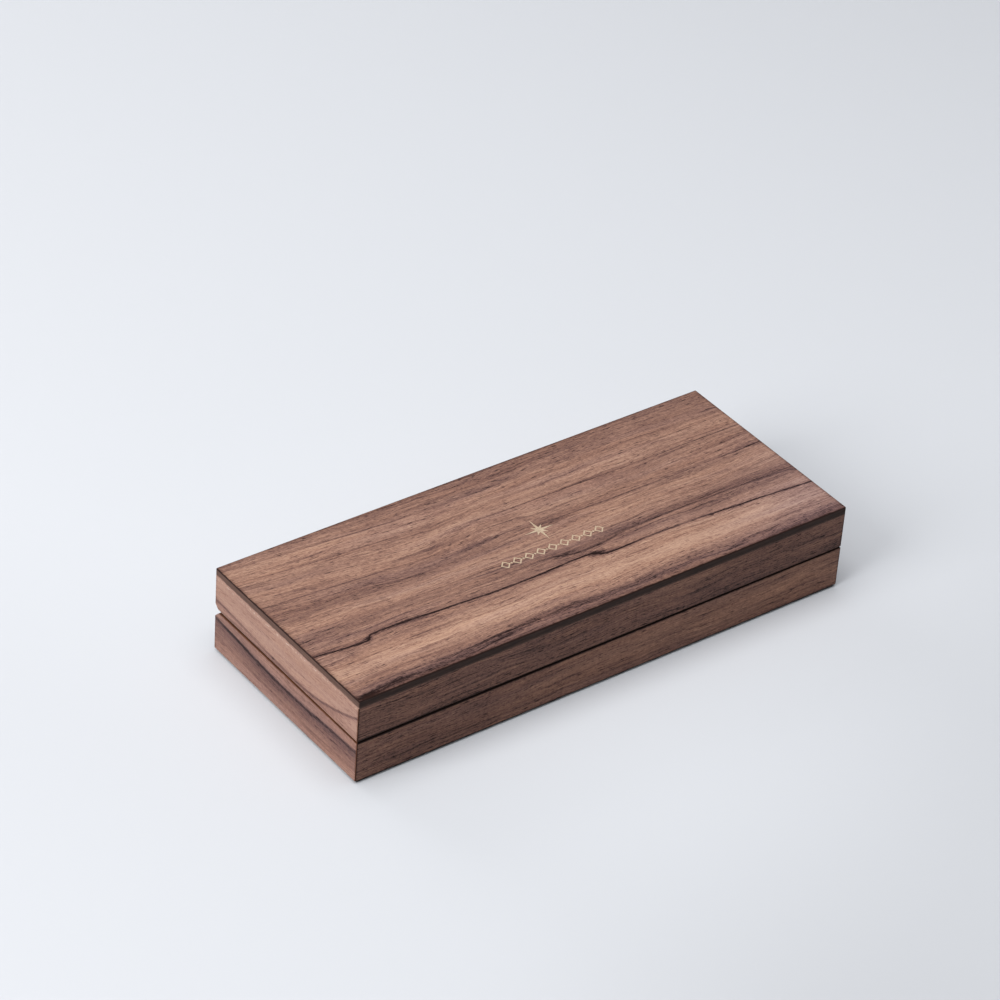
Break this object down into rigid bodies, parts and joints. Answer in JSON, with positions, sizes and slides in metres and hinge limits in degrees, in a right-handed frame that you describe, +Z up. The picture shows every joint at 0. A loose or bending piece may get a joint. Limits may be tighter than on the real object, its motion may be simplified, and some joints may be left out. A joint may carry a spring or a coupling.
{
  "type": "pen case",
  "caption": "Hinged walnut-veneered case for two fountain pens, with a grooved velvet bed, elastic loops, a satin lid pad and a magnetic closure.",
  "frame": {"origin": "centre of the underside, on the surface that the case stands on", "axes": "+X along the length to the right, +Y towards the hinges at the back, +Z up"},
  "size_m": [0.195, 0.0802, 0.0327],
  "materials": {
    "walnut_veneer": "satin",
    "dark_edge_paint": "satin",
    "fibreboard": "matte",
    "foot_felt": "matte",
    "liner_cloth": "matte",
    "velvet": "matte",
    "satin": "satin",
    "elastic": "matte",
    "grey_card": "matte",
    "brass": "satin",
    "nickel": "gloss",
    "gold_foil": "satin"
  },
  "bodies": {
    "base": {"base_bottom_panel": "fibreboard", "base_foot_felt": "foot_felt", "base_front_wall": "fibreboard", "base_rear_wall": "fibreboard", "base_left_wall": "fibreboard", "base_right_wall": "fibreboard", "base_front_veneer": "walnut_veneer", "base_rear_veneer": "walnut_veneer", "base_left_veneer": "walnut_veneer", "base_right_veneer": "walnut_veneer", "base_liner_front": "liner_cloth", "base_liner_rear": "liner_cloth", "base_liner_left": "liner_cloth", "base_liner_right": "liner_cloth", "base_magnets": "nickel", "pen_bed": "velvet", "pen_loop_front": "elastic", "pen_loop_rear": "elastic", "hinge_base_leaf_left": "brass", "hinge_base_leaf_right": "brass", "hinge_pin_left": "brass", "hinge_pin_right": "brass", "hinge_base_screws": "brass"},
    "lid": {"lid_top_panel": "dark_edge_paint", "lid_top_veneer": "walnut_veneer", "lid_emblem": "gold_foil", "lid_front_wall": "fibreboard", "lid_rear_wall": "fibreboard", "lid_left_wall": "fibreboard", "lid_right_wall": "fibreboard", "lid_front_veneer": "walnut_veneer", "lid_rear_veneer": "walnut_veneer", "lid_left_veneer": "walnut_veneer", "lid_right_veneer": "walnut_veneer", "lid_liner_front": "liner_cloth", "lid_liner_rear": "liner_cloth", "lid_liner_left": "liner_cloth", "lid_liner_right": "liner_cloth", "lid_pad_board": "grey_card", "lid_pad": "satin", "lid_magnets": "nickel", "hinge_lid_leaf_left": "brass", "hinge_lid_leaf_right": "brass", "hinge_lid_screws": "brass"}
  },
  "joints": [
    {"name": "lid_hinge", "type": "hinge", "parent": "base", "child": "lid", "pos_m": [0, 0.038, 0.0164], "axis": [-1, 0, 0], "range_deg": [0, 100]}
  ]
}
